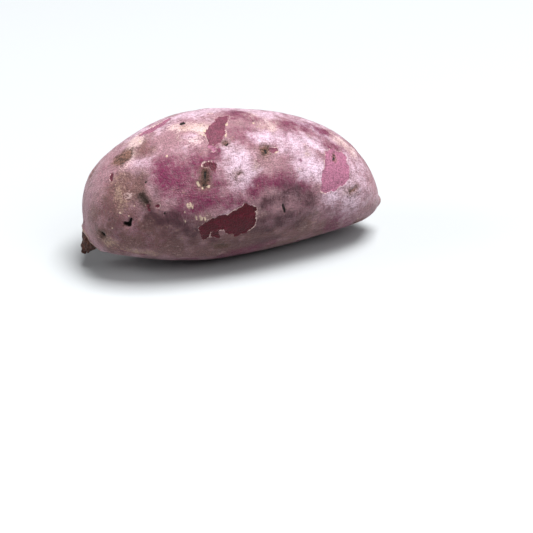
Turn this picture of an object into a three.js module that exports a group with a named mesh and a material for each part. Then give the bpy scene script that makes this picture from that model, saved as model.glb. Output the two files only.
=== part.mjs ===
// A purple sweet potato: one whole raw root that lies on its flatter side.
//
// The root is a unit sphere drawn out along X. The point of the sphere in direction d goes to
// x = half the length times d.x, and its d.y and d.z are multiplied by the half width and half
// height that the root has there, and moved by the sideways drift and the lift of the core line.
// Broad swells and hollows, the tail at the root end, the scar at the stem end and the worn
// underside are then added. Units are millimetres, +Z is up, +X points to the stem end and
// -Y is the front. The origin is under the middle of the root, on the surface it rests on.
import * as THREE from "three";

// Driving dimensions.
const LENGTH = 128; // from pole to pole, without the tail and the scar
const FLAT_DEPTH = 0.8; // how much of the underside is worn flat
const FACES_ALONG = 64;
const FACES_AROUND = 52;
const END_CROWDING = 0.25; // 0 spaces the rings evenly, 0.5 gathers them at the poles

// The section, at equal steps of the polar angle from the root end to the stem end. A value at
// the end sets how blunt that end is, because the section there is scaled by the sine of that angle.
const HALF_HEIGHT = [53.5, 35.5, 32, 32.5, 29.5, 30.5, 32.5, 35];
const HALF_WIDTH = [58.5, 41.5, 35.5, 33.5, 31, 32, 35, 39.5];
const LIFT = [21, 26, 30, 31.5, 30, 28, 22, 15.5];
const DRIFT = [4, 4, 4, 4.5, 5, 4, 1.5, -1.5];

// Swells (rise above 0) and hollows (below 0). along is counted from mid-length, around is the
// angle from the front (0) over the top (90) to the back (180), and the reaches are half widths.
const MEAN_RADIUS = 32; // turns an angle around the root into a distance
const SWELLS = [
  { along: 19, around: 58, reachAlong: 20, reachAround: 15, rise: 0.9 },
  { along: -12, around: 28, reachAlong: 9, reachAround: 14, rise: -0.8 },
  { along: -43, around: 25, reachAlong: 14, reachAround: 14, rise: 0.7 },
  { along: 27, around: 155, reachAlong: 16, reachAround: 16, rise: -1 },
  { along: -25, around: 172, reachAlong: 18, reachAround: 14, rise: 0.9 },
  { along: -47, around: 128, reachAlong: 14, reachAround: 14, rise: -0.7 },
  { along: 5, around: 212, reachAlong: 20, reachAround: 14, rise: 0.8 },
  { along: 41, around: 205, reachAlong: 12, reachAround: 14, rise: 0.8 },
  { along: -33, around: 250, reachAlong: 16, reachAround: 12, rise: -0.6 },
  { along: 37, around: 325, reachAlong: 16, reachAround: 14, rise: -0.6 },
];

// The tail is the broken end of the root that ran on into the soil. It hooks down and out.
const TAIL = {
  centre: new THREE.Vector3(-62.4, 5, 14.6),
  reach: 7.5,
  pull: new THREE.Vector3(-2.4, 0.6, -7.4),
};
// The scar is the dry stub where the root was broken off the vine.
const STEM_SCAR = {
  centre: new THREE.Vector3(64, -1.5, 15.5),
  reach: 5.5,
  pull: new THREE.Vector3(2.4, 0, -0.6),
};

// A uniform cubic B-spline over equally spaced control values, read at share from 0 to 1. The
// list is carried on in a straight line past both ends, so the curve starts and ends on them.
function smoothValue(values, share) {
  const last = values.length - 1;
  const at = (i) => {
    if (i < 0) return 2 * values[0] - values[1];
    if (i > last) return 2 * values[last] - values[last - 1];
    return values[i];
  };
  const place = THREE.MathUtils.clamp(share, 0, 1) * last;
  const i = Math.min(Math.floor(place), last - 1);
  const f = place - i;
  const before = (1 - f) ** 3 / 6;
  const here = (3 * f ** 3 - 6 * f ** 2 + 4) / 6;
  const next = (-3 * f ** 3 + 3 * f ** 2 + 3 * f + 1) / 6;
  const after = f ** 3 / 6;
  return before * at(i - 1) + here * at(i) + next * at(i + 1) + after * at(i + 2);
}

// Moves a direction along its meridian so that the rings stand closer together at the poles.
function crowdToEnds(direction) {
  const polar = Math.acos(THREE.MathUtils.clamp(-direction.x, -1, 1));
  const side = Math.hypot(direction.y, direction.z);
  if (side < 1e-9) return direction;
  const crowded = polar - END_CROWDING * Math.sin(2 * polar);
  const grow = Math.sin(crowded) / side;
  return direction.set(-Math.cos(crowded), direction.y * grow, direction.z * grow);
}

// The height that all swells and hollows add: each is a bell curve in both directions.
function swellAt(along, direction) {
  const side = Math.hypot(direction.y, direction.z);
  const around = THREE.MathUtils.radToDeg(Math.atan2(direction.z, -direction.y));
  let rise = 0;
  for (const swell of SWELLS) {
    const turn = THREE.MathUtils.euclideanModulo(around - swell.around + 180, 360) - 180;
    const arc = THREE.MathUtils.degToRad(turn) * MEAN_RADIUS * side;
    const lengthwise = (along - swell.along) / swell.reachAlong;
    const crosswise = arc / swell.reachAround;
    rise += swell.rise * Math.exp(-(lengthwise ** 2) - crosswise ** 2);
  }
  return rise;
}

// Pulls the points near a centre out into a blunt stub: fully at the centre, not at all at reach.
function pullStub(point, stub) {
  const share = 1 - THREE.MathUtils.smoothstep(point.distanceTo(stub.centre), 0, stub.reach);
  return point.addScaledVector(stub.pull, share);
}

// The point of the root in a direction of the unit sphere.
function rootPoint(direction) {
  const share = Math.acos(THREE.MathUtils.clamp(-direction.x, -1, 1)) / Math.PI;
  const along = (LENGTH / 2) * direction.x;
  const rise = swellAt(along, direction);
  const point = new THREE.Vector3(
    along,
    smoothValue(DRIFT, share) + (smoothValue(HALF_WIDTH, share) + rise) * direction.y,
    smoothValue(LIFT, share) + (smoothValue(HALF_HEIGHT, share) + rise) * direction.z,
  );
  return pullStub(pullStub(point, TAIL), STEM_SCAR);
}

// The root as one closed mesh, cut flat underneath and centred over the origin.
function rootGeometry() {
  const geometry = new THREE.SphereGeometry(1, FACES_AROUND, FACES_ALONG).rotateZ(-Math.PI / 2);
  const position = geometry.getAttribute("position");
  const point = new THREE.Vector3();
  for (let i = 0; i < position.count; i += 1) {
    point.copy(rootPoint(crowdToEnds(point.fromBufferAttribute(position, i).normalize())));
    position.setXYZ(i, point.x, point.y, point.z);
  }
  geometry.computeBoundingBox();
  const { min, max } = geometry.boundingBox;
  const floor = min.z + FLAT_DEPTH;
  for (let i = 0; i < position.count; i += 1) {
    position.setZ(i, Math.max(position.getZ(i), floor));
  }
  geometry.translate(-(min.x + max.x) / 2, -(min.y + max.y) / 2, -floor);
  geometry.computeVertexNormals();
  return geometry;
}

const skin = new THREE.MeshStandardMaterial({ color: 0xa07a88, roughness: 0.6, metalness: 0 });
const root = new THREE.Mesh(rootGeometry(), skin);
root.name = "sweet_potato";

const part = new THREE.Group();
part.name = "purple_sweet_potato";
part.add(root);

export default part;
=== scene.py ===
"""The looks of a whole raw purple sweet potato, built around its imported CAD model.

The root is one piece: a fine skin over the same body as the CAD solid, with its eyes, pits, peeled
patches and corky flecks in the mesh, and a material that colours each of them from the mesh's own
attributes. Lengths are millimetres up to the point where a mesh is made, and metres from there on.
"""

import math

import bpy
import numpy as np
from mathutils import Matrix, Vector


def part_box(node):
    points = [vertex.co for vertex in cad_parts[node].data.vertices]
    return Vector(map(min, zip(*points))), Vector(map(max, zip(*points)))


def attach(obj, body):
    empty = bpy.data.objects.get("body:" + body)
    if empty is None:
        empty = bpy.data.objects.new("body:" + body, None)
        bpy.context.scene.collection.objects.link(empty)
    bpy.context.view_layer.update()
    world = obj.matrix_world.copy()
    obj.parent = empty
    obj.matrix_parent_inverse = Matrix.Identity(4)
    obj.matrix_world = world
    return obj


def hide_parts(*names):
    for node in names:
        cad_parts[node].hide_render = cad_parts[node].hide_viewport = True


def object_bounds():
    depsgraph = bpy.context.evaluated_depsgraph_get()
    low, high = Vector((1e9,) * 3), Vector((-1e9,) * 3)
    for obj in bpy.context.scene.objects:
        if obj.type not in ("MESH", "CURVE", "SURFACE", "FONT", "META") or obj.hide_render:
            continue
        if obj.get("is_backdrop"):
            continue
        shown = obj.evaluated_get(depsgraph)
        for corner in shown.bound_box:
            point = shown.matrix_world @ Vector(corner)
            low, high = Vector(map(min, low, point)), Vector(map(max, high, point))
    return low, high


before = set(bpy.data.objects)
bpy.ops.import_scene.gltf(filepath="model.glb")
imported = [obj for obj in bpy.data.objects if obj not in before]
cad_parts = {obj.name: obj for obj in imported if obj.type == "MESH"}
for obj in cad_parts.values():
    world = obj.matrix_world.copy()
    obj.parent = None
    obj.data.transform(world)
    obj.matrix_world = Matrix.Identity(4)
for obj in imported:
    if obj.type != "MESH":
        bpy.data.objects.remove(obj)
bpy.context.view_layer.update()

bl_info = {
    "name": "Purple sweet potato",
    "version": (1, 0, 0),
    "blender": (4, 5, 0),
    "location": "3D View > Sidebar > Sweet potato",
    "description": "Builds a whole raw purple sweet potato and a pale stage for it",
    "category": "Object",
}

MM = 0.001
NODE = "sweet_potato"
BODY = "root"

# ---------------------------------------------------------------- the body of the root
LENGTH = 128
FLAT_DEPTH = 0.8
# The section and the core line at equal steps of the polar angle, from the root end to the stem end,
# as in the CAD model. A least-squares fit of the body's outline gave these four rows, and they were
# then rounded to half a millimetre.
HALF_HEIGHT = [53.5, 35.5, 32, 32.5, 29.5, 30.5, 32.5, 35]
HALF_WIDTH = [58.5, 41.5, 35.5, 33.5, 31, 32, 35, 39.5]
LIFT = [21, 26, 30, 31.5, 30, 28, 22, 15.5]
DRIFT = [4, 4, 4, 4.5, 5, 4, 1.5, -1.5]
MEAN_RADIUS = 32
# (along, around, reach along, reach around, rise), as in the CAD model
SWELLS = [
    (19, 58, 20, 15, 0.9), (-12, 28, 9, 14, -0.8), (-43, 25, 14, 14, 0.7), (27, 155, 16, 16, -1),
    (-25, 172, 18, 14, 0.9), (-47, 128, 14, 14, -0.7), (5, 212, 20, 14, 0.8), (41, 205, 12, 14, 0.8),
    (-33, 250, 16, 12, -0.6), (37, 325, 16, 14, -0.6),
]
# (centre, reach, pull), as in the CAD model
TAIL = ((-62.4, 5, 14.6), 7.5, (-2.4, 0.6, -7.4))
STEM_SCAR = ((64, -1.5, 15.5), 5.5, (2.4, 0, -0.6))
END_CROWDING = 0.12  # 0 spaces the rings evenly, 0.5 gathers them at the poles

# ---------------------------------------------------------------- what is on the skin
# Every mark is a stroke, or a few: a chain of (along, around, half width), where along is in mm from
# mid-length towards the stem end, around is in degrees from the front over the top, and the half
# width is in mm. A chain of one is a round spot. The places of the marks in front were worked out
# with a helper program, then rounded and adjusted by hand; those of the other sides are invented.

# (tone, strokes): patches where the outer skin has come off. Tone 0 is raw wine red, 1 is dry pink.
PEELS = [
    (0.3, [[(-5.2, 81, 2.2), (-7, 75, 2.4), (-9.8, 68, 3.9), (-11.2, 62.5, 3.3), (-13, 56, 1.6)],
        [(-2.6, 84, 0.8), (-5, 81, 1.4)], [(-9.2, 90.5, 0.9), (-8, 89.5, 0.8)],
        [(-14, 68, 1.0), (-11, 67, 1.4)]]),
    (0.9, [[(-13.4, 54.5, 1.4), (-12.8, 52.8, 1.2)]]),
    (0.0, [[(-1.2, 2.5, 2.0), (-4, -3, 5.0), (-8.5, -6.5, 5.4), (-13, -4.5, 3.4), (-17.5, -5.5, 2.8),
        (-20.8, -9, 2.4), (-20.3, -16, 1.5)], [(-2.2, -9.5, 2.4), (-7, -14.5, 2.4)],
        [(-16.5, -14, 1.4), (-14.5, -18, 0.9)], [(-3.5, 6.6, 1.0), (-1.2, 3, 1.6)]]),
    (0.75, [[(-39, 97, 0.8), (-36.5, 96.5, 1.8), (-33.8, 95, 2.7), (-30.5, 95.5, 2.3),
        (-27.5, 97.5, 1.7), (-24.5, 101.5, 0.8)]]),
    (0.95, [[(36.5, 45, 2.4), (42.3, 46.5, 3.0)],
        [(39.6, 40, 6.0), (39, 31, 6.6), (36, 23, 5.2), (33, 16, 3)]]),
    (0.35, [[(11.2, 47, 1.2), (12.8, 46.4, 1.0)]]),
    (0.1, [[(-18, 41.6, 1.0), (-16.2, 41.2, 1.3), (-14.6, 39.2, 1.5), (-14.7, 37, 1.2)]]),
    (0.1, [[(-42.3, 23, 0.5), (-42.1, 16.5, 0.4)], [(-53.1, 64, 1.1), (-53.4, 60, 0.6)],
        [(-39.4, 18, 0.7)]]),
    (0.3, [[(-9, 150, 1.8), (-2, 146, 3.6), (5, 149, 2.2)], [(-5, 158, 1.4)],
        [(-52, 235, 1.2), (-50, 240, 1.6)]]),
    (0.7, [[(29, 165, 1.4), (34, 172, 2.8), (37, 181, 1.4)], [(50, 120, 1.0), (53, 124, 1.5)]]),
    (0.1, [[(-41, 190, 1.4), (-35, 196, 2.8), (-31, 192, 1.2)], [(18, 300, 1.2), (23, 306, 2.2)]]),
    (0.6, [[(-31, 262, 1.5), (-26, 270, 2.4)], [(55, 250, 1.3)], [(8, 205, 1.0), (10, 208, 1.5)]]),
]
# (depth, strokes): dark holes left by insects and broken rootlets
PITS = [
    (1.9, [[(-51.5, 6.6, 0.7), (-50.2, 4.4, 0.95), (-49.8, 7, 0.6), (-49.3, 10.4, 0.5)]]),
    (0.7, [[(-21.4, 85.5, 1.25)]]),
    (0.8, [[(12.7, 3.8, 0.4), (13.2, 0, 0.5), (13.7, -3.5, 0.4)]]),
    (0.8, [[(-59.4, -9, 0.7), (-59.8, -6.4, 0.5)]]),
    (0.7, [[(8.0, 47.6, 0.5), (8.4, 45.8, 0.5)], [(6.4, 50.4, 0.35)]]),
    (0.6, [[(-18.2, 36.2, 0.5), (-18.8, 31.5, 0.4)], [(-19.8, 26.6, 0.5)], [(-17.4, 27.4, 0.35)]]),
    (0.5, [[(-8.3, 54.6, 0.3), (-7.4, 54, 0.35), (-6.6, 55.2, 0.3)]]),
    (0.6, [[(39.2, 44.6, 0.4), (39, 42.2, 0.45)]]),
    (0.5, [[(-41.8, 40.8, 0.45)], [(-36.4, 10.4, 0.5)], [(-5, 30.6, 0.4)],
        [(13, 56, 0.35)]]),
    (1.4, [[(-18, 142, 0.6)], [(38, 158, 0.5)], [(-38, 205, 0.7)], [(15, 222, 0.5)], [(26, 262, 0.4)]]),
]
# (depth, strokes): eyes, where rootlets grew: dented, brown and corky
EYES = [
    (0.4, [[(-49.4, 80, 2.6), (-45.4, 80.5, 2.6)], [(-48.6, 75, 2.0), (-45.5, 76, 2.2)]]),
    (0.4, [[(-44, 29, 0.9), (-43.2, 24, 0.9)]]),
    (0.5, [[(-59.6, -8, 1.8)]]),
    (0.55, [[(-18.4, 37, 1.3), (-19.6, 27, 1.9)]]),
    (0.5, [[(8, 47.2, 2.2)]]),
    (0.35, [[(-7.5, 55.3, 1.1)]]),
    (0.35, [[(39.4, 47, 0.9), (39, 41.5, 1.1)]]),
    (0.3, [[(-15, -28, 1.3), (-11.5, -29, 1.4)]]),
    (0.25, [[(-5, 30.8, 0.9)]]),
]
# (along, around, half width): the eyes of the sides that face away, in their loose rows
FAR_EYES = [
    (-30, 130, 1.6), (-6, 119, 1.1), (21, 127, 1.7), (43, 141, 1.2), (-47, 161, 1.5), (-14, 177, 1.9),
    (13, 187, 1.2), (48, 196, 1.6), (-54, 214, 1.3), (-23, 227, 1.4), (5, 236, 1.8), (34, 229, 1.1),
    (0, 281, 1.2), (31, 276, 1.6), (-41, 286, 1.4), (52, 318, 1.3), (46, 12, 1.1), (-58, 112, 1.2),
]
EYES += [(0.1 + 0.22 * half, [[(along - 1, around - 2, half), (along + 1, around + 2, 0.8 * half)]])
        for along, around, half in FAR_EYES]
# pale corky crusts
FLECKS = [
    [(-27.4, 14.6, 0.32), (-26.9, 11.4, 0.28)], [(-26.2, 15.2, 0.35), (-25.4, 11.2, 0.4)],
    [(-24.8, 13.6, 0.28)],
    [(-28.9, 2.8, 0.26), (-28.3, -0.6, 0.3)], [(-24.3, 3.6, 0.42), (-24.0, 1.0, 0.3)],
    [(-22.6, 3.4, 0.3), (-22.1, 0.6, 0.45)], [(-20.8, 1.9, 0.26), (-20.5, -0.4, 0.3)], [(-28.6, 8.8, 0.32)],
    [(-13.8, 71, 0.2), (-14.6, 69, 0.45)], [(-15.4, 66, 0.45), (-14.8, 63.5, 0.2)], [(-12.8, 56, 0.4)],
    [(-6, 64, 0.2), (-7, 61, 0.45)], [(-4.2, 74, 0.5), (-4.8, 71.5, 0.2)], [(-3.2, 77.5, 0.3)],
    [(-47.5, 23, 0.36)], [(-52.9, 19.8, 0.34), (-52.2, 18.6, 0.2)], [(-49.8, 14.2, 0.3)], [(-56.1, 3, 0.3)],
    [(-31.7, 56.2, 0.5)], [(-22.2, 29.4, 0.5), (-21.8, 26.8, 0.4)], [(-18.0, 25.0, 0.5)],
    [(-20.6, 24.4, 0.4)],
    [(13.2, 45.8, 0.4), (12.0, 44.6, 0.3)], [(7.0, 72.8, 0.5)], [(-16.2, 67.5, 0.4)], [(-39.2, 85.2, 0.5)],
]
FAR_FLECKS = 60  # strewn at random over the sides that face away
OUTSIDE = 99.0  # mm: the distance from a mark before any mark has been met
# (name, strength, fade in mm, strokes): soft areas of colour
ZONES = [
    ("rose", 1.0, 7, [[(-34, 44, 4), (-28, 31, 7), (-24, 24, 5)], [(-20, 44, 3), (-16, 22, 4)]]),
    ("rose", 0.75, 5, [[(-30, 12, 3), (-21, 15, 3), (-6, 11, 3)]]),
    ("rose", 0.7, 5, [[(3, 90, 4), (12, 72, 3)], [(-14, 50, 2), (-16, 40, 2)]]),
    ("rose", 0.8, 2.6, [[(14, 76, 1.6), (21, 73, 3), (28, 74, 4), (34, 76, 4.2), (38.5, 76, 2.4)]]),
    ("rose", 0.35, 8, [[(-3, 66, 4), (6, 64, 4), (22, 66, 4), (36, 66, 4)]]),
    ("rose", 0.6, 4, [[(20, 68, 3), (34, 63, 3.5)]]),
    ("rose", 0.6, 3, [[(37, 56, 2), (47, 60, 2)]]),
    ("rose", 0.9, 4, [[(0, 18, 2), (4, 24, 2), (16, 22, 3), (22, 18, 2)]]),
    ("rose", 0.9, 0.8, [[(22.6, 38.8, 0.6)], [(-10.8, 51, 0.8)], [(-0.8, 80, 0.8)], [(-61.2, 68, 1)],
        [(3.8, 39, 0.4)]]),
    ("rose", 0.9, 6, [[(-20, 160, 5), (-5, 172, 6)], [(30, 140, 5), (42, 150, 4)],
        [(10, 250, 6), (25, 240, 5)]]),
    ("rose", 0.8, 5, [[(-45, 250, 5), (-30, 240, 4)], [(50, 300, 4), (40, 330, 5)],
        [(-8, 310, 5), (8, 320, 4)]]),
    ("rose", 1.0, 1.3, [[(-57, -30, 0.4), (-50, -37, 0.6), (-44, -40, 0.9)],
        [(-30, -52, 0.6), (-22, -50, 0.5)]]),
    # Pale film; on the upper front, where the light falls, it is also a painted highlight.
    ("veil", 0.4, 5, [[(-43, 63, 2), (-38, 66, 2)], [(-20, 66, 3), (-24, 60, 2)]]),
    ("veil", 0.9, 5, [[(4, 58, 2), (22, 57, 2), (34, 52, 2)], [(26, 84, 2), (40, 68, 2)]]),
    ("veil", 0.55, 9, [[(-42, 98, 5), (0, 102, 6), (45, 88, 5)], [(-40, 60, 3)]]),
    ("veil", 1.0, 7, [[(-5, 46, 4), (-2, 31, 4)], [(20, 50, 5), (27, 34, 6)]]),
    ("veil", 0.6, 9, [[(50, 30, 8), (40, 0, 8)], [(0, 200, 9), (30, 200, 9)], [(-40, 140, 8)],
        [(-10, 270, 8)]]),
    ("blush", 1.35, 4, [[(4, 90, 2.5), (14, 73, 3)], [(-24, 82, 3), (-15, 73, 2.5)],
        [(40, 76, 2.5), (50, 64, 3)], [(-40, 92, 3), (-46, 70, 3)], [(-20, 62, 2)], [(48, 170, 4)],
        [(-35, 170, 4), (-20, 190, 4)]]),
    ("tan", 0.8, 4, [[(-22, 79, 1.5), (-14, 75, 1.5)], [(9.5, 69, 1), (12, 68, 1)],
        [(-51, 58, 2), (-52, 30, 2)]]),
    ("tan", 0.9, 4, [[(-58, -20, 2), (-50, -33, 2), (-40, -38, 2)], [(12, 215, 4)],
        [(56, 160, 3), (60, 230, 3)]]),
    # Film browned by soil, and painted shade: these darken the lower front, the underside and the root end.
    ("earth", 1.1, 9, [[(-58, 10, 8), (-55, -25, 7)]]),
    ("earth", 1.1, 11, [[(-52, 12, 8), (-40, -12, 9), (-10, -28, 9), (30, -34, 8)]]),
    ("earth", 1.2, 7, [[(-57, 20, 5), (-52, 50, 4), (-46, 40, 4)], [(-40, 75, 3)]]),
    ("earth", 0.9, 12, [[(40, 240, 8), (10, 270, 8), (-30, 265, 8)], [(60, 200, 6)], [(-15, 140, 5)]]),
    # Darker film: partly the skin's own dark patches, partly painted shade on the lower front, the
    # underside and the root end.
    ("dusk", 0.95, 7, [[(-42, 11, 2), (-34, 2, 4), (-26, -8, 4)]]),
    ("dusk", 0.85, 6, [[(6, 8, 3), (17, 12, 4), (24, 4, 4)]]),
    ("dusk", 0.6, 4, [[(-45.5, 52, 1.5), (-41.5, 42, 1), (-39, 28, 1.5)]]),
    ("dusk", 0.45, 6, [[(-58, 24, 3), (-56, 5, 4)]]),
    ("dusk", 0.6, 6, [[(-30, -14, 4), (-12, -24, 4), (8, -28, 4)]]),
    ("dusk", 0.8, 7, [[(2, -14, 4), (20, -8, 5)], [(-5, 225, 4), (10, 228, 5)], [(-40, 300, 5)]]),
    ("olive", 1.5, 5, [[(-43.8, 29.5, 0.5), (-43.1, 25, 0.7)]]),
    ("olive", 0.9, 2, [[(-18.4, 36, 0.6), (-19.6, 27, 1)]]),
    ("olive", 0.7, 2.5, [[(-56.7, 14.2, 0.8)], [(-15, -28, 0.8), (-11.5, -29, 0.8)], [(-59.6, -8, 1.2)]]),
]
ZONE_NAMES = ("rose", "veil", "blush", "tan", "earth", "dusk", "olive")


# Patterns of the skin: the size of their grains in mm along and across the root, and their detail.
# The finest ones are drawn at twice their real size, because they would blur away otherwise.
PATTERNS = {
    "dust": (0.42, 0.42, 2), "speck": (0.9, 0.9, 3), "blotch": (3.2, 3.2, 4), "patch": (5.5, 5.5, 4),
    "cloud": (13, 13, 3), "haze": (9, 9, 4), "thread": (0.5, 2.0, 2), "fibre": (3.0, 0.6, 2),
}
# name: (weights, start, end, low, high). The weighed sum of fields and patterns is eased from low,
# where it is at start, to high, where it is at end.
MIXES = {
    # the pale film, which on the upper front is also a painted highlight
    "veil": ({"veil": 0.85, "cloud": 0.4, "blotch": 0.22, "speck": 0.2, "fibre": 0.15}, 0.0, 1.1, 0, 1),
    "blush": ({"blush": 0.65, "haze": 0.4, "patch": 0.5, "speck": 0.3, "dust": 0.2}, 0.25, 1.2, 0, 0.8),
    # film browned by soil, and painted shade low down
    "earth": ({"earth": 0.75, "haze": 0.45, "patch": 0.35, "speck": 0.25}, 0.05, 0.95, 0, 1),
    # darker film, partly painted shade on the lower front and underneath
    "dusk": ({"dusk": 0.9, "patch": 0.3, "blotch": 0.25, "dust": 0.3, "thread": 0.2}, 0.15, 1.1, 0, 1),
    "rose": ({"rose": 0.9, "cloud": -0.3, "haze": -0.25, "blotch": -0.22, "speck": 0.3, "thread": 0.2},
        -0.05, 1.15, 0, 1),
    "tan": ({"tan": 0.8, "patch": -0.4, "speck": 0.45, "fibre": 0.25}, 0.2, 1.2, 0, 1),
    "olive": ({"olive": 1.0, "blotch": 0.4, "speck": 0.35, "fibre": 0.25}, 0.15, 1.3, 0, 1),
    "halo": ({"eye": 1.0, "blotch": 1.2, "speck": 0.8}, 3.2, -0.8, 0, 0.7),
    "eye": ({"eye": 1.0, "speck": 0.7, "blotch": 0.5, "fibre": 0.3}, 1.0, -1.2, 0, 0.95),
    # the pale torn edge of the film round the peels, partly a painted highlight along it
    "lip": ({"peel": 1.0, "speck": 0.4, "patch": -0.85, "blotch": 0.8}, 0.2, -0.3, 0, 0.85),
    "peel": ({"peel": 1.0, "dust": 0.25}, 0.12, -0.08, 0, 1),
    "fleck": ({"fleck": 1.0, "dust": 0.25}, 0.15, -0.1, 0, 0.9),
    "pit": ({"pit": 1.0}, 0.18, -0.12, 0, 1),
    "tail": ({"tail": 1.0, "speck": 0.2, "fibre": 0.15}, 0.4, 0.95, 0, 1),
    "collar": ({"collar": 1.0, "speck": 0.3, "blotch": 0.2}, 0.4, 1.1, 0, 1),
    "scar": ({"scar": 1.0, "speck": 0.3, "blotch": 0.2}, 0.45, 1.2, 0, 1),
    "bark": ({"fibre": 0.3, "blotch": 0.5, "speck": 0.3}, 0.0, 1.6, 0, 1),
    "cork": ({"fibre": 0.5, "speck": 0.4, "blotch": 0.4}, -0.9, 0.9, 0, 1),
    "shade": ({"dust": 0.8, "speck": 0.5, "thread": 0.35, "fibre": 0.3, "blotch": 0.3},
        -1.3, 1.3, 0.5, 1.5),
    "rough": ({"speck": 1.0, "peel_mask": -1.6, "fleck_mask": 1.5, "tail_mask": 1.5}, -2.0, 2.0, 0.4, 0.72),
    "relief": ({"dust": 0.25, "speck": 0.35, "thread": 0.2, "fibre": 0.15}, -1.0, 1.0, -1, 1),
}
PAINTS = (
    "mauve", "lilac", "taupe", "blush", "magenta", "dusk", "tan", "olive", "halo", "cork", "lip",
    "wine", "pink", "bark_light", "cream", "tail", "pit",
)
# The layers of colour, from the film outwards: (mix, paint)
LAYERS = (
    ("veil", "lilac"), ("earth", "taupe"), ("blush", "blush"), ("rose", "magenta"), ("dusk", "dusk"),
    ("tan", "tan"), ("halo", "halo"), ("lip", "lip"), ("peel", "bark"), ("eye", "eye"), ("olive", "olive"),
    ("fleck", "cream"), ("collar", "tan"), ("tail", "tail"), ("scar", "cork"), ("pit", "pit"),
)


# ---------------------------------------------------------------- the stage
FLOOR_HALF = 9.0  # m: far enough out that the floor's edge stays out of sight in low views
CAMERA_TARGET = Vector((0.0070, -0.0253, 0.0008))  # m
CAMERA_DISTANCE = 0.530  # m
CAMERA_AZIMUTH = -18  # degrees
CAMERA_ELEVATION = 28.5  # degrees


def linear(hex_colour):
    """Turns an sRGB hex colour such as "#a08090" into linear red, green, blue and alpha."""
    shares = [int(hex_colour[i:i + 2], 16) / 255 for i in (1, 3, 5)]
    return (*[s / 12.92 if s <= 0.04045 else ((s + 0.055) / 1.055) ** 2.4 for s in shares], 1.0)


def smooth_value(values, share):
    """A uniform cubic B-spline over equally spaced values, read at shares from 0 to 1. The list is
    carried on in a straight line past both ends, so the curve starts and ends on its end values."""
    v = np.asarray(values, float)
    v = np.concatenate([[2 * v[0] - v[1]], v, [2 * v[-1] - v[-2]]])
    place = np.clip(share, 0, 1) * (len(values) - 1)
    i = np.minimum(place.astype(int), len(values) - 2)
    f = place - i
    return (
        (1 - f) ** 3 / 6 * v[i] + (3 * f**3 - 6 * f**2 + 4) / 6 * v[i + 1]
        + (-3 * f**3 + 3 * f**2 + 3 * f + 1) / 6 * v[i + 2] + f**3 / 6 * v[i + 3]
    )


def smooth_step(value, start, end):
    """0 before start, 1 after end, and 3t^2 - 2t^3 between; start may be the larger."""
    t = np.clip((value - start) / (end - start), 0, 1)
    return t * t * (3 - 2 * t)


def body_points(along, around):
    """The body of the root. With polar angle acos(-along / half length) from the root end, the point
    at (along, around) is the core line's drift and lift there, plus the half width times minus the
    cosine of around and the half height times its sine, both times the sine of the polar angle.
    Swells are bell curves in along and in arc length, and stubs pull the points near them out."""
    along, around = np.broadcast_arrays(np.asarray(along, float), np.asarray(around, float))
    polar = np.arccos(np.clip(-along / (LENGTH / 2), -1, 1))
    side, turn = np.sin(polar), np.radians(around)
    rise = np.zeros(along.shape)
    for swell_along, swell_around, reach_along, reach_around, height in SWELLS:
        arc = np.radians((around - swell_around + 180) % 360 - 180) * MEAN_RADIUS * side
        rise += height * np.exp(-(((along - swell_along) / reach_along) ** 2) - (arc / reach_around) ** 2)
    share = polar / math.pi
    y = smooth_value(DRIFT, share) - (smooth_value(HALF_WIDTH, share) + rise) * side * np.cos(turn)
    z = smooth_value(LIFT, share) + (smooth_value(HALF_HEIGHT, share) + rise) * side * np.sin(turn)
    points = np.stack([along, y, z], -1)
    for centre, reach, pull in (TAIL, STEM_SCAR):
        near = 1 - smooth_step(np.linalg.norm(points - centre, axis=-1), 0, reach)
        points = points + near[..., None] * np.array(pull)
    return points


def noise(points, size, seed):
    """Perlin's gradient noise, from about -1 to 1: a random slope at each corner of a lattice, eased
    with 6t^5 - 15t^4 + 10t^3 between corners. size is the lattice step in mm, or one for each axis."""
    random = np.random.default_rng(seed)
    slopes = random.normal(size=(256, 3))
    slopes /= np.linalg.norm(slopes, axis=1, keepdims=True)
    mix = random.permutation(256)
    cell = points / np.asarray(size, float)
    base = np.floor(cell).astype(int)
    frac = cell - base
    ease = frac**3 * (frac * (frac * 6 - 15) + 10)
    total = np.zeros(points.shape[:-1])
    for corner in np.ndindex(2, 2, 2):
        spot = (base + corner) & 255
        index = mix[(mix[(mix[spot[..., 0]] + spot[..., 1]) & 255] + spot[..., 2]) & 255]
        weight = np.where(np.array(corner) == 1, ease, 1 - ease).prod(-1)
        total += weight * (slopes[index] * (frac - corner)).sum(-1)
    return total * 1.6


def stroke_distance(points, strokes):
    """How far each point is outside the nearest stroke, in mm, and less than 0 inside one. A stroke
    runs in straight steps between its places on the body, and its half width changes evenly."""
    nearest = np.full(points.shape[:-1], OUTSIDE)
    for stroke in strokes:
        along, around, half = (np.array(column, float) for column in zip(*stroke))
        spots = body_points(along, around)
        for i in range(max(len(stroke) - 1, 1)):
            j = min(i + 1, len(stroke) - 1)
            step = spots[j] - spots[i]
            share = np.clip((points - spots[i]) @ step / max(step @ step, 1e-9), 0, 1)
            gap = np.linalg.norm(points - spots[i] - share[..., None] * step, axis=-1)
            nearest = np.minimum(nearest, gap - half[i] - share * (half[j] - half[i]))
    return nearest


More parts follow.
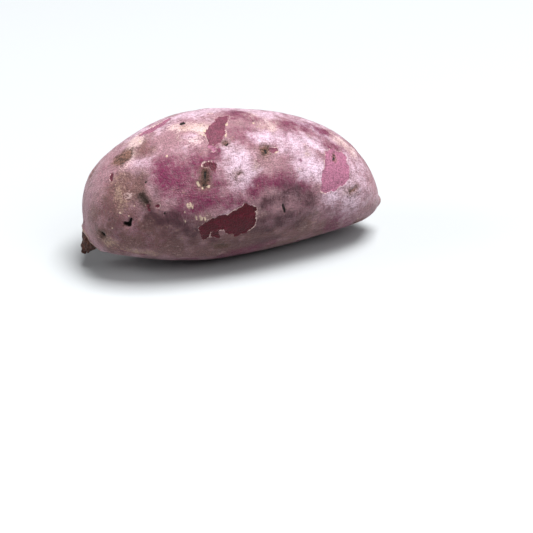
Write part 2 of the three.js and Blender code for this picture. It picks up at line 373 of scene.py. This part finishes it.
def body_grid(rings, sides):
    """The body as a grid of rings, the angle around of each side, and the outward normals: the
    cross product of the steps around the root and along it, with the mean at each pole."""
    polar = np.linspace(0, math.pi, rings + 1)
    polar = polar - END_CROWDING * np.sin(2 * polar)
    along = -LENGTH / 2 * np.cos(polar)[:, None]
    around = np.linspace(0, 360, sides, endpoint=False)[None, :]
    base = body_points(along, around)
    lengthwise = np.gradient(base, axis=0)
    crosswise = np.roll(base, -1, 1) - np.roll(base, 1, 1)
    normal = np.cross(crosswise, lengthwise)
    normal[0], normal[-1] = normal[1].mean(0), normal[-2].mean(0)
    normal /= np.linalg.norm(normal, axis=-1, keepdims=True)
    if (normal * (base - base.mean((0, 1)))).sum() < 0:
        normal = -normal
    return base, around, normal


def tuber_surface(rings, sides, settings):
    """The skin as a grid of rings, with the marks that the material reads. Each body point is moved
    out along its normal by the sum of: broad lumps and fine grain (noise), creases across the root
    (noise squeezed along it), a step down inside a peeled patch with a thin lip outside it, a dent
    with a raised rim at each eye, a steep hole at each pit, a crust on each fleck, and, at the root
    end, a ridge with a groove inside it (bell curves in the distance from the tail's tip), coarse
    fibres, a ragged tip, and folds that run into the tail (a sine of the angle times noise)."""
    base, around, normal = body_grid(rings, sides)

    wander = 0.75 * noise(base, 3.2, 11) + 0.6 * noise(base, 1.5, 12)
    fields = {"peel": np.full(base.shape[:2], OUTSIDE), "tone": np.zeros(base.shape[:2])}
    for tone, strokes in PEELS:
        gap = stroke_distance(base, strokes) + wander
        fields["tone"] = np.where(gap < fields["peel"], tone, fields["tone"])
        fields["peel"] = np.minimum(fields["peel"], gap)
    height = 0.22 * noise(base, 15, 1) + 0.13 * noise(base, 7, 2) + 0.05 * noise(base, 3, 3)
    height += 0.028 * noise(base, 1.5, 4) + 0.05 * noise(base, (2.4, 10, 10), 5)
    height -= settings.peel_depth / MM * smooth_step(fields["peel"], 0.2, -0.3)
    height += 0.09 * np.exp(-((fields["peel"] - 0.45) / 0.35) ** 2)

    for name, marks, edge, rim in (("eye", EYES, 0.8, 0.12), ("pit", PITS, 0.35, 0.05)):
        fields[name] = np.full(base.shape[:2], OUTSIDE)
        for depth, strokes in marks:
            gap = stroke_distance(base, strokes)
            height -= depth * smooth_step(gap, edge, -edge)
            height += rim * np.exp(-((gap - edge) / (0.6 * edge)) ** 2)
            fields[name] = np.minimum(fields[name], gap)
    random = np.random.default_rng(5)
    spots = zip(random.uniform(-58, 58, FAR_FLECKS), random.uniform(100, 345, FAR_FLECKS),
                random.uniform(0.18, 0.42, FAR_FLECKS))
    fields["fleck"] = stroke_distance(base, FLECKS + [[spot] for spot in spots]) + 0.25 * wander
    height += 0.1 * smooth_step(fields["fleck"], 0.25, -0.2)

    for name in ZONE_NAMES:
        fields[name] = np.zeros(base.shape[:2])
    for name, strength, fade, strokes in ZONES:
        cover = strength * smooth_step(stroke_distance(base, strokes), fade, -fade / 2)
        fields[name] = np.maximum(fields[name], cover)

    tail_tip = np.array(TAIL[0]) + TAIL[2]
    from_tip = np.linalg.norm(base - tail_tip, axis=-1) + 0.7 * wander
    folds = np.sin(np.radians(around) * 9 + 2.2 * noise(base, 6, 7)) * noise(base, 4, 8)
    fields["tail"] = smooth_step(from_tip, 10.4, 9.2)
    fields["collar"] = np.exp(-(((from_tip - 11.0) / 0.8) ** 2))
    height += 0.4 * fields["collar"] - 0.5 * np.exp(-(((from_tip - 9.4) / 0.7) ** 2))
    height += 0.45 * fields["tail"] * noise(base, (0.9, 0.9, 5), 6)
    height += 1.1 * smooth_step(from_tip, 6, 1) * noise(base, 1.7, 9)
    height += 0.5 * folds * smooth_step(from_tip, 18, 9)
    scar_tip = np.array(STEM_SCAR[0]) + STEM_SCAR[2]
    fields["scar"] = smooth_step(np.linalg.norm(base - scar_tip, axis=-1), 4.5, 2.2)

    height[0], height[-1] = height[1].mean(), height[-2].mean()
    return base + normal * height[..., None], fields, base


def closed_grid(name, points, fields, to_frame):
    """Makes a mesh of a grid of rings whose first and last rings are poles: quads between rings, a
    fan of triangles at each pole, and each field as a point attribute."""
    rings, sides = points.shape[:2]

    def keep(grid):
        """The grid as one list, with each pole once."""
        return np.concatenate([grid[:1, 0], grid[1:-1].reshape(-1, *grid.shape[2:]), grid[-1:, 0]])

    vertices = to_frame(keep(points))
    index = 1 + np.arange((rings - 2) * sides).reshape(rings - 2, sides)
    after = np.roll(index, -1, 1)
    last = len(vertices) - 1
    quads = np.stack([index[:-1], after[:-1], after[1:], index[1:]], -1).reshape(-1, 4)
    root_fan = np.stack([np.zeros(sides, int), after[0], index[0]], -1)
    stem_fan = np.stack([np.full(sides, last), index[-1], after[-1]], -1)
    mesh = bpy.data.meshes.new(name)
    mesh.from_pydata(vertices.tolist(), [], quads.tolist() + root_fan.tolist() + stem_fan.tolist())
    mesh.polygons.foreach_set("use_smooth", np.ones(len(mesh.polygons), bool))
    for field, grid in fields.items():
        attribute = mesh.attributes.new(field, "FLOAT", "POINT")
        attribute.data.foreach_set("value", np.clip(keep(grid), -9, 9).astype(np.float32))
    mesh.update()
    return mesh


def put(tree, kind, inputs=(), **settings):
    """Adds a node, sets its properties, and links or sets each of its inputs."""
    node = tree.nodes.new(kind)
    for name, value in settings.items():
        setattr(node, name, value)
    for key, value in dict(inputs).items():
        if isinstance(value, bpy.types.Node):
            value = value.outputs[0]
        if isinstance(value, bpy.types.NodeSocket):
            tree.links.new(value, node.inputs[key])
        else:
            node.inputs[key].default_value = value
    return node


def skin_material(colours):
    """Raw sweet potato skin, washed and dried: a thin papery film over wine-red bark. The film is a
    satin greyish lilac, worn thin in places so that the red shows through it as magenta, and stained
    tan and olive by the soil. Its loose fibres give a faint sheen, which lightens the root's edges.
    Where it has come off, the bark is darker, redder and a little moist."""
    # Part of this colour is painted light: the pale film is also a painted highlight on the upper front,
    # the pale lip along the peels is partly a painted highlight, and the soil-browned and the darker film
    # are partly painted shade on the lower front, the underside and the root end.
    material = bpy.data.materials.new("sweet_potato_skin")
    material.use_nodes = True
    tree = material.node_tree
    tree.nodes.clear()
    place = put(tree, "ShaderNodeTexCoord").outputs["Object"]

    value = {}
    for name in ("peel", "tone", "eye", "pit", "fleck", "tail", "collar", "scar", *ZONE_NAMES):
        value[name] = put(tree, "ShaderNodeAttribute", attribute_name=name).outputs["Fac"]
    for count, (name, (along, across, detail)) in enumerate(PATTERNS.items()):
        stretched = put(tree, "ShaderNodeMapping", {
            "Vector": place, "Location": (7.3 * count, 3.1 * count, 0),
            "Scale": (1 / (along * MM), 1 / (across * MM), 1 / (across * MM))})
        raw = put(tree, "ShaderNodeTexNoise", {
            "Vector": stretched, "Scale": 1.0, "Detail": detail, "Roughness": 0.55}).outputs[0]
        value[name] = put(tree, "ShaderNodeMapRange", {
            "Value": raw, "From Min": 0.25, "From Max": 0.75, "To Min": -1.0, "To Max": 1.0}, clamp=False)
    for name, (weights, start, end, low, high) in MIXES.items():
        total = 0.0
        for part, weight in weights.items():
            total = put(tree, "ShaderNodeMath", {0: value[part], 1: weight, 2: total},
                operation="MULTIPLY_ADD")
        value[name + "_mask"] = put(tree, "ShaderNodeMapRange", {
            "Value": total, "From Min": start, "From Max": end, "To Min": low, "To Max": high,
        }, interpolation_type="SMOOTHSTEP")

    paints = dict(colours)
    for name, share, low, high in (
        ("bark", value["tone"], "wine", "pink"), ("bark", value["bark_mask"], "bark", "bark_light"),
        ("eye", value["cork_mask"], "olive", "cork"), ("tail", value["cork_mask"], "pit", "tail"),
    ):
        paints[name] = put(tree, "ShaderNodeMix", {
            0: share, 6: paints[low], 7: paints[high]}, data_type="RGBA").outputs[2]
    colour = colours["mauve"]
    for name, paint in LAYERS:
        colour = put(tree, "ShaderNodeMix", {
            0: value[name + "_mask"], 6: colour, 7: paints[paint]}, data_type="RGBA").outputs[2]
    colour = put(tree, "ShaderNodeVectorMath", {0: colour, 1: value["shade_mask"]}, operation="MULTIPLY")

    bump = put(tree, "ShaderNodeBump", {"Height": value["relief_mask"], "Strength": 0.6,
        "Distance": 0.3 * MM})
    skin = put(tree, "ShaderNodeBsdfPrincipled", {
        "Base Color": colour, "Roughness": value["rough_mask"], "Normal": bump, "IOR": 1.45,
        "Specular IOR Level": 0.22, "Sheen Weight": 0.12, "Sheen Roughness": 0.4})
    put(tree, "ShaderNodeOutputMaterial", {"Surface": skin})
    return material


def paint(label, words, hex_colour):
    """A colour setting."""
    return bpy.props.FloatVectorProperty(
        name=label, description=words, default=linear(hex_colour), size=4, subtype="COLOR", min=0, max=1)


class TuberSettings(bpy.types.PropertyGroup):
    """Sizes and colours of the root."""

    rings: bpy.props.IntProperty(name="Rings", description="Rings of faces along the root", default=330,
        min=60)
    sides: bpy.props.IntProperty(name="Sides", description="Faces in each ring", default=300, min=40)
    peel_depth: bpy.props.FloatProperty(
        name="Peel depth", description="How deep the peeled patches lie", default=0.3 * MM, unit="LENGTH")
    mauve: paint("Film", "The greyish outer film", "#8f6b73")
    # The pale film's colour, also a painted highlight on the upper front.
    lilac: paint("Pale film and painted highlight", "The film where it is thick and pale, and a painted highlight", "#c7aebe")
    # The soil-browned film, also painted shade on the lower front and underneath.
    taupe: paint("Soiled film and painted shade", "The film where soil has browned it, and painted shade low down", "#674846")
    blush: paint("Dry film", "The film where it is dry and beige", "#ccb1ae")
    magenta: paint("Thin film", "The film where the bark shows through", "#5e1a3b")
    # The darker film, partly painted shade on the lower front and underneath.
    dusk: paint("Dark film and painted shade", "The film where it is dark, partly painted shade", "#40242b")
    tan: paint("Tan stain", "Dry soil stain", "#917768")
    olive: paint("Dark stain", "Dark stain at the eyes", "#22140f")
    halo: paint("Halo", "The brownish film around an eye", "#684c48")
    cork: paint("Cork", "Corky tissue in the eyes", "#7d584c")
    # The torn edge's pale colour, partly a painted highlight along the peels.
    lip: paint("Lip", "Torn edge of the film, partly a painted highlight", "#bfa29e")
    wine: paint("Raw bark", "Freshly peeled bark", "#450213")
    pink: paint("Dry bark", "Bark that has dried", "#965f76")
    bark_light: paint("Bark fibres", "Pale fibres in the bark", "#74203e")
    cream: paint("Flecks", "Corky crusts", "#bea894")
    tail: paint("Tail", "The dried root tail", "#5a372d")
    pit: paint("Pits", "The inside of the pits", "#150c0a")


class StageSettings(bpy.types.PropertyGroup):
    """The floor, the lights and the camera."""

    floor: bpy.props.FloatVectorProperty(
        name="Floor", description="Colour of the floor", default=linear("#b0b3b5"), size=4, subtype="COLOR")
    top_power: bpy.props.FloatProperty(name="Top light",
        description="Power of the overhead soft light, in watts", default=214.0)
    side_power: bpy.props.FloatProperty(name="Side light",
        description="Power of the soft side light, in watts", default=15.0)
    card_power: bpy.props.FloatProperty(name="Left card",
        description="Power of the white card at the root end, in watts", default=22.0)
    fill: bpy.props.FloatProperty(name="Fill", description="Brightness of the white surroundings",
        default=0.09)
    lens: bpy.props.FloatProperty(name="Lens", description="Focal length in millimetres", default=85.0)


def towards(azimuth, elevation):
    """The unit vector at an azimuth from the front (-Y) to the right (+X) and an elevation."""
    flat = math.cos(elevation)
    return Vector((math.sin(azimuth) * flat, -math.cos(azimuth) * flat, math.sin(elevation)))


def aim(thing, position, target):
    """Puts a light or camera at a position and points it at a target."""
    thing.location = position
    thing.rotation_euler = (target - position).to_track_quat("-Z", "Y").to_euler()
    bpy.context.scene.collection.objects.link(thing)


class SWEETPOTATO_OT_tuber(bpy.types.Operator):
    """Builds the root with its skin"""

    bl_idname = "sweetpotato.tuber"
    bl_label = "Build the root"

    def execute(self, context):
        settings = context.scene.sweet_potato_tuber
        points, fields, base = tuber_surface(settings.rings, settings.sides, settings)
        low, high = (np.array(corner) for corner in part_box(NODE))
        own_low, own_high = base.min((0, 1)), base.max((0, 1))
        shift = np.array([
            (low[0] + high[0]) / 2 / MM - (own_low[0] + own_high[0]) / 2,
            (low[1] + high[1]) / 2 / MM - (own_low[1] + own_high[1]) / 2,
            low[2] / MM - own_low[2] - FLAT_DEPTH,
        ])

        def to_frame(places):
            """Moves the root onto the CAD node's box, presses its underside flat and turns mm to m."""
            placed = places + shift
            placed[..., 2] = np.maximum(placed[..., 2], low[2] / MM)
            return placed * MM

        mesh = closed_grid("sweet_potato_tuber", points, fields, to_frame)
        mesh.materials.append(skin_material({name: tuple(getattr(settings, name)) for name in PAINTS}))
        tuber = bpy.data.objects.new("sweet_potato_tuber", mesh)
        context.scene.collection.objects.link(tuber)
        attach(tuber, BODY)
        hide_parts(NODE)
        return {"FINISHED"}


class SWEETPOTATO_OT_stage(bpy.types.Operator):
    """Builds the floor, the lights and the camera"""

    bl_idname = "sweetpotato.stage"
    bl_label = "Build the stage"

    def execute(self, context):
        scene, settings = context.scene, context.scene.sweet_potato_stage
        low, high = (Vector(corner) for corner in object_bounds())
        middle = (low + high) / 2

        half = FLOOR_HALF
        corners = [(-half, -half, low.z), (half, -half, low.z), (half, half, low.z), (-half, half, low.z)]
        mesh = bpy.data.meshes.new("floor")
        mesh.from_pydata(corners, [], [(0, 1, 2, 3)])
        # matt white paper, rolled smooth: it has no shine, so only the root's soft shadow shows on it
        paper = bpy.data.materials.new("matt_white_paper")
        paper.use_nodes = True
        tree = paper.node_tree
        tree.nodes.clear()
        sheet = put(tree, "ShaderNodeBsdfPrincipled", {
            "Base Color": tuple(settings.floor), "Roughness": 0.7, "Specular IOR Level": 0.2})
        put(tree, "ShaderNodeOutputMaterial", {"Surface": sheet})
        mesh.materials.append(paper)
        floor = bpy.data.objects.new("floor", mesh)
        scene.collection.objects.link(floor)
        floor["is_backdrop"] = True

        # side and distance in metres, azimuth and elevation in degrees
        for name, power, side, distance, azimuth, elevation in (
            ("top_light", settings.top_power, 1.7, 3.2, 61, 76),
            ("side_light", settings.side_power, 1.0, 2.0, 35, 42),
            ("left_card", settings.card_power, 1.0, 2.0, -100, 24),
        ):
            lamp = bpy.data.lights.new(name, "AREA")
            lamp.energy, lamp.shape, lamp.size = power, "SQUARE", side
            direction = towards(math.radians(azimuth), math.radians(elevation))
            aim(bpy.data.objects.new(name, lamp), middle + distance * direction, middle)

        world = bpy.data.worlds.new("white_surroundings")
        world.use_nodes = True
        back = world.node_tree.nodes["Background"]
        back.inputs["Color"].default_value = linear("#f8fbff")
        back.inputs["Strength"].default_value = settings.fill
        scene.world = world

        camera = bpy.data.cameras.new("camera")
        camera.lens = settings.lens
        seat = bpy.data.objects.new("camera", camera)
        direction = towards(math.radians(CAMERA_AZIMUTH), math.radians(CAMERA_ELEVATION))
        aim(seat, CAMERA_TARGET + CAMERA_DISTANCE * direction, CAMERA_TARGET)
        scene.camera = seat
        scene.view_settings.view_transform = "Standard"
        return {"FINISHED"}


class SWEETPOTATO_PT_panel(bpy.types.Panel):
    """Lists the steps that build the sweet potato"""

    bl_idname = "SWEETPOTATO_PT_panel"
    bl_label = "Sweet potato"
    bl_space_type = "VIEW_3D"
    bl_region_type = "UI"
    bl_category = "Sweet potato"

    def draw(self, context):
        for operator in OPERATORS:
            self.layout.operator(operator.bl_idname)


OPERATORS = (SWEETPOTATO_OT_tuber, SWEETPOTATO_OT_stage)
CLASSES = (TuberSettings, StageSettings, *OPERATORS, SWEETPOTATO_PT_panel)


def register():
    for cls in CLASSES:
        bpy.utils.register_class(cls)
    bpy.types.Scene.sweet_potato_tuber = bpy.props.PointerProperty(type=TuberSettings)
    bpy.types.Scene.sweet_potato_stage = bpy.props.PointerProperty(type=StageSettings)


def unregister():
    del bpy.types.Scene.sweet_potato_tuber
    del bpy.types.Scene.sweet_potato_stage
    for cls in reversed(CLASSES):
        bpy.utils.unregister_class(cls)


def main():
    """Builds everything."""
    register()
    bpy.ops.sweetpotato.tuber()
    bpy.ops.sweetpotato.stage()


if __name__ == "__main__":
    main()
